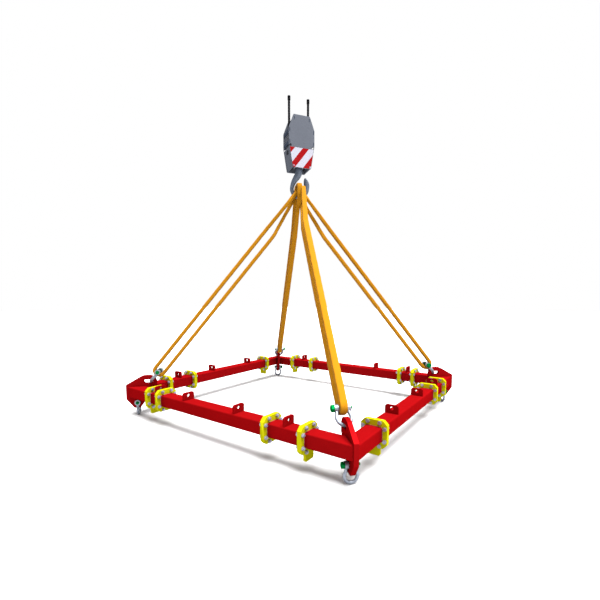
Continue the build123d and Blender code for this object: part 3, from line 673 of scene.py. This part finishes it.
# ---------------------------------------------------------------- hook
# Inner and outer edge at each station, across and up from the bowl's centre, and the half thickness
HOOK_STATIONS = (
    (0.042, 0.212, -0.042, 0.212, 0.042),
    (0.036, 0.168, -0.049, 0.176, 0.040),
    (0.012, 0.122, -0.070, 0.136, 0.036),
    (-0.018, 0.087, -0.091, 0.088, 0.031),
    (-0.048, 0.045, -0.105, 0.034, 0.027),
    (-0.064, -0.005, -0.108, -0.020, 0.024),
    (-0.050, -0.042, -0.086, -0.072, 0.024),
    (-0.024, -0.061, -0.046, -0.107, 0.024),
    (0.008, -0.065, 0.014, -0.119, 0.024),
    (0.040, -0.052, 0.074, -0.096, 0.024),
    (0.061, -0.022, 0.113, -0.042, 0.024),
    (0.064, 0.014, 0.128, 0.016, 0.023),
    (0.061, 0.052, 0.128, 0.066, 0.020),
    (0.060, 0.088, 0.112, 0.104, 0.015),
    (0.063, 0.112, 0.096, 0.124, 0.011),
    (0.069, 0.128, 0.087, 0.133, 0.006),
    (0.0755, 0.136, 0.0805, 0.1365, 0.002),
)
COLLAR_TOP = -0.794 - BOWL_Z


def hook():
    """The forged hook, with its shank up to the crosshead."""
    stations = np.array(HOOK_STATIONS)
    padded = np.vstack([2 * stations[0] - stations[1], stations, 2 * stations[-1] - stations[-2]])
    smooth = []
    for i in range(1, len(padded) - 2):
        a, b, c, d = padded[i - 1:i + 3]
        for step in range(10):
            t = step / 10
            smooth.append(0.5 * (2 * b + (c - a) * t + (2 * a - 5 * b + 4 * c - d) * t * t
                                 + (3 * b - a - 3 * c + d) * t ** 3))
    smooth.append(stations[-1])
    around = 40
    rings = []
    for z in (COLLAR_TOP, COLLAR_TOP - 0.004, 0.214):
        radius = 0.042 if z < COLLAR_TOP else 0.038
        rings.append([at_hook(radius * math.cos(2 * math.pi * j / around),
                              radius * math.sin(2 * math.pi * j / around), z) for j in range(around)])
    for inner_u, inner_z, outer_u, outer_z, half in smooth:
        middle = ((inner_u + outer_u) / 2, (inner_z + outer_z) / 2)
        half_u, half_z = (inner_u - outer_u) / 2, (inner_z - outer_z) / 2
        ring = []
        for j in range(around):
            angle = 2 * math.pi * j / around
            c, s = math.cos(angle), math.sin(angle)
            ring.append(at_hook(middle[0] + half_u * c, half * math.copysign(abs(s) ** 0.9, s),
                                middle[1] + half_z * c))
        rings.append(ring)
    verts, faces = closed_tube(rings, closed=False)
    faces.append(list(range(around)))
    faces.append([len(verts) - around + j for j in reversed(range(around))])
    make_piece("forged_hook", verts, faces, "hook_paint", "rig", ["hook"])


def hook_neck():
    """The threaded neck through the crosshead, up to the hook's nut."""
    around, pitch = 40, 0.004
    low, high = COLLAR_TOP - 0.002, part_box("hook_nut")[1].z - BOWL_Z
    steps = int((high - low) / (pitch / 4))
    rings = []
    for i in range(steps + 1):
        z = low + (high - low) * i / steps
        ring = []
        for j in range(around):
            angle = 2 * math.pi * j / around
            wave = math.sin(2 * math.pi * (z / pitch) - angle)
            radius = 0.0292 + 0.0007 * wave
            ring.append(at_hook(radius * math.cos(angle), radius * math.sin(angle), z))
        rings.append(ring)
    verts, faces = closed_tube(rings, closed=False)
    faces.append(list(reversed(range(around))))
    faces.append([len(verts) - around + j for j in range(around)])
    make_piece("hook_neck_thread", verts, faces, "bare_steel", "rig", ["hook"])


# ---------------------------------------------------------------- weld beads
BEAM_HALF_WIDTH = 0.075
BEAM_HEIGHT = 0.125
BEAM_ROUND = 0.014
BEAD_RADIUS = 0.0042
BEAD_STEP = 0.004
FLANGE_THICK = 0.020
FRONT_STATIONS = (-1.048, -0.855, 0.665, 1.048)
SIDE_STATIONS = (-0.928, 0.555, 0.928)


def beam_outline():
    """The beam's outer section, evenly stepped: across the beam and up from its middle."""
    half_w, half_h, r = BEAM_HALF_WIDTH, BEAM_HEIGHT / 2, BEAM_ROUND
    corners = [(half_w - r, half_h - r, 0), (r - half_w, half_h - r, 90), (r - half_w, r - half_h, 180),
               (half_w - r, r - half_h, 270)]
    outline = []
    for k, (y, z, begin) in enumerate(corners):
        for step in range(7):
            angle = math.radians(begin + 15 * step)
            outline.append((y + r * math.cos(angle), z + r * math.sin(angle)))
        following = corners[(k + 1) % 4]
        angle = math.radians(begin + 90)
        end = (following[0] + r * math.cos(angle), following[1] + r * math.sin(angle))
        last = outline[-1]
        spans = int(math.dist(last, end) / BEAD_STEP)
        outline += [(last[0] + (end[0] - last[0]) * n / spans, last[1] + (end[1] - last[1]) * n / spans)
                    for n in range(1, spans)]
    return outline


def weld_beads():
    """Rippled fillet welds round the beams at every flange plate."""
    outline = beam_outline()
    middle = BEAM_TOP - BEAM_HEIGHT / 2
    verts, faces = [], []
    sides = [(0, FRONT_STATIONS, 1.330), (180, FRONT_STATIONS, 1.330), (90, SIDE_STATIONS, 1.450),
             (270, SIDE_STATIONS, 1.450)]
    for turn, stations, reach in sides:
        place = Matrix.Rotation(math.radians(turn), 3, "Z")
        for station in stations:
            for face in (-1, 1):
                x = station + face * FLANGE_THICK
                rings = []
                for n, (y, z) in enumerate(outline):
                    out = Vector((0, y, z)).normalized()
                    ripple = 0.16 * math.sin(2 * math.pi * n / 1.9) + 0.05 * math.sin(n * 0.7)
                    radius = BEAD_RADIUS * (1 + ripple)
                    rings.append([
                        place @ (Vector((x, y - reach, z + middle))
                                 + Vector((face, 0, 0)) * radius * math.cos(a) + out * radius * math.sin(a))
                        for a in [2 * math.pi * j / 8 for j in range(8)]
                    ])
                ring_verts, ring_faces = closed_tube(rings)
                start = len(verts)
                verts += ring_verts
                faces += [[v + start for v in f] for f in ring_faces]
    make_piece("weld_beads", verts, faces, "red_paint", "rig", material=WELD)


# ---------------------------------------------------------------- stage
def smooth_group():
    """Smooth shading with edges sharper than 35 degrees kept."""
    group = bpy.data.node_groups.new("smooth_by_angle", "GeometryNodeTree")
    group.interface.new_socket("Geometry", in_out="INPUT", socket_type="NodeSocketGeometry")
    group.interface.new_socket("Geometry", in_out="OUTPUT", socket_type="NodeSocketGeometry")
    nodes, links = group.nodes, group.links
    begin, end = nodes.new("NodeGroupInput"), nodes.new("NodeGroupOutput")
    angle = nodes.new("GeometryNodeInputMeshEdgeAngle")
    compare = nodes.new("FunctionNodeCompare")
    compare.operation = "LESS_THAN"
    compare.inputs["B"].default_value = SHARP_ANGLE
    edges = nodes.new("GeometryNodeSetShadeSmooth")
    edges.domain = "EDGE"
    faces = nodes.new("GeometryNodeSetShadeSmooth")
    links.new(angle.outputs["Unsigned Angle"], compare.inputs["A"])
    links.new(begin.outputs[0], faces.inputs["Geometry"])
    links.new(faces.outputs[0], edges.inputs["Geometry"])
    links.new(compare.outputs["Result"], edges.inputs["Shade Smooth"])
    links.new(edges.outputs[0], end.inputs[0])
    return group


def area_light(name, place, aim, size, power):
    """A rectangular light at place, turned towards aim."""
    data = bpy.data.lights.new(name, "AREA")
    data.shape = "RECTANGLE"
    data.size, data.size_y = size
    data.energy = power
    light = bpy.data.objects.new(name, data)
    light.location = place
    light.rotation_euler = (Vector(aim) - Vector(place)).to_track_quat("-Z", "Y").to_euler()
    bpy.context.scene.collection.objects.link(light)


def sun_light(name, towards, power, spread):
    """A far, soft light; towards points from the object to it."""
    data = bpy.data.lights.new(name, "SUN")
    data.energy = power
    data.angle = math.radians(spread)
    light = bpy.data.objects.new(name, data)
    light.rotation_euler = (-Vector(towards)).to_track_quat("-Z", "Y").to_euler()
    bpy.context.scene.collection.objects.link(light)


WORLD_STRENGTH = 1.0
FLOOR_REACH = 40.0


def studio():
    """A pale floor, a pale world and large soft lights."""
    floor_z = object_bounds()[0][2] - 0.001
    mesh = bpy.data.meshes.new("floor")
    reach = FLOOR_REACH
    mesh.from_pydata([(-reach, -reach, floor_z), (reach, -reach, floor_z), (reach, reach, floor_z),
                      (-reach, reach, floor_z)], [], [(0, 1, 2, 3)])
    floor = bpy.data.objects.new("floor", mesh)
    bpy.context.scene.collection.objects.link(floor)
    graph = Graph("floor")
    grain = graph.noise(1.5, 4, 0.6)
    tone = graph.mix(graph.span(grain, 0.3, 0.7), (0.385, 0.385, 0.388, 1), (0.405, 0.405, 0.408, 1))
    mesh.materials.append(graph.set(color=tone, roughness=graph.span(grain, 0.3, 0.7, 0.75, 0.85)))
    world = bpy.data.worlds.new("world")
    world.use_nodes = True
    world.node_tree.nodes["Background"].inputs["Color"].default_value = (1.0, 1.0, 1.0, 1.0)
    world.node_tree.nodes["Background"].inputs["Strength"].default_value = WORLD_STRENGTH
    bpy.context.scene.world = world
    bpy.context.scene.view_settings.view_transform = "Standard"
    sun_light("overhead", (0.26, 0.0, 1.0), 17.5, 45)
    area_light("right", (7.0, -1.5, -1.0), (0, 0, -2.6), (4, 4), 160)


finish_cad_nodes()
rope()
slings()
hook()
hook_neck()
weld_beads()
studio()
make_camera()
